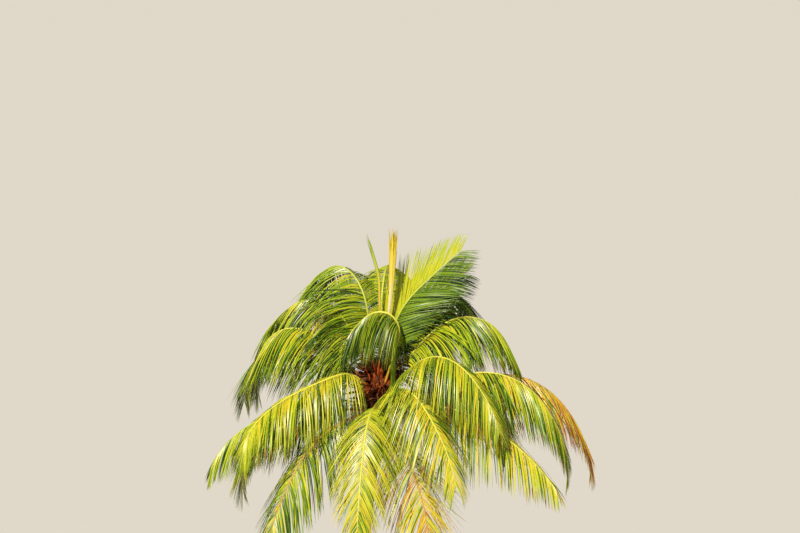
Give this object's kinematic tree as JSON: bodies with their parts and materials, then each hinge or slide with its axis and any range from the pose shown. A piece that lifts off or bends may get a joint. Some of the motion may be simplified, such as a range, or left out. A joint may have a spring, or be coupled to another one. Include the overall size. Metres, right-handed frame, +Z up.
{
  "type": "coconut palm tree",
  "caption": "Tall coconut palm with a leaning ringed trunk on a flared foot and a full crown of arching and drooping feather leaves, unopened spears and flower stalks.",
  "frame": {"origin": "middle of the flat cut under the trunk, at ground level", "axes": "+Z up along the standing tree; +X the way the trunk leans, to the right in the picture; -Y towards the picture's viewer"},
  "size_m": [7.5638, 6.9261, 9.6388],
  "materials": {
    "bark": "rough grey bark with leaf scars",
    "fibre": "coarse brown leaf-base fibre",
    "leaf": "glossy green to yellow leaflets",
    "young_leaf": "glossy bright young leaflets",
    "spear": "satin straw-yellow folded leaf",
    "flower_stalk": "dry rust-brown stalk"
  },
  "bodies": {
    "root": {"crown_heart": "fibre", "flower_sheath_1": "flower_stalk", "flower_sheath_2": "flower_stalk", "flower_sheath_3": "flower_stalk", "flower_stalk_1": "flower_stalk", "flower_stalk_2": "flower_stalk", "flower_stalk_3": "flower_stalk", "flower_stalk_4": "flower_stalk", "leaf_01": "young_leaf", "leaf_02_inner": "leaf", "leaf_02_outer": "leaf", "leaf_03_inner": "leaf", "leaf_03_outer": "leaf", "leaf_04": "young_leaf", "leaf_05_inner": "leaf", "leaf_05_outer": "leaf", "leaf_06_inner": "leaf", "leaf_06_outer": "leaf", "leaf_07_inner": "leaf", "leaf_07_outer": "leaf", "leaf_08_inner": "leaf", "leaf_08_outer": "leaf", "leaf_09_inner": "leaf", "leaf_09_outer": "leaf", "leaf_10_inner": "leaf", "leaf_10_outer": "leaf", "leaf_11_inner": "leaf", "leaf_11_outer": "leaf", "leaf_12_inner": "leaf", "leaf_12_outer": "leaf", "leaf_13_inner": "leaf", "leaf_13_outer": "leaf", "leaf_14_inner": "leaf", "leaf_14_outer": "leaf", "leaf_15_inner": "leaf", "leaf_15_outer": "leaf", "leaf_16_inner": "leaf", "leaf_16_outer": "leaf", "leaf_17_inner": "leaf", "leaf_17_outer": "leaf", "leaf_18_inner": "leaf", "leaf_18_outer": "leaf", "leaf_19_inner": "leaf", "leaf_19_outer": "leaf", "leaf_20_inner": "leaf", "leaf_20_outer": "leaf", "leaf_21_inner": "leaf", "leaf_21_outer": "leaf", "leaf_22_inner": "leaf", "leaf_22_outer": "leaf", "leaf_23_inner": "leaf", "leaf_23_outer": "leaf", "leaf_24_inner": "leaf", "leaf_24_outer": "leaf", "leaf_25_inner": "leaf", "leaf_25_outer": "leaf", "spear_tall": "spear", "spear_young": "spear", "trunk": "bark"}
  },
  "joints": []
}
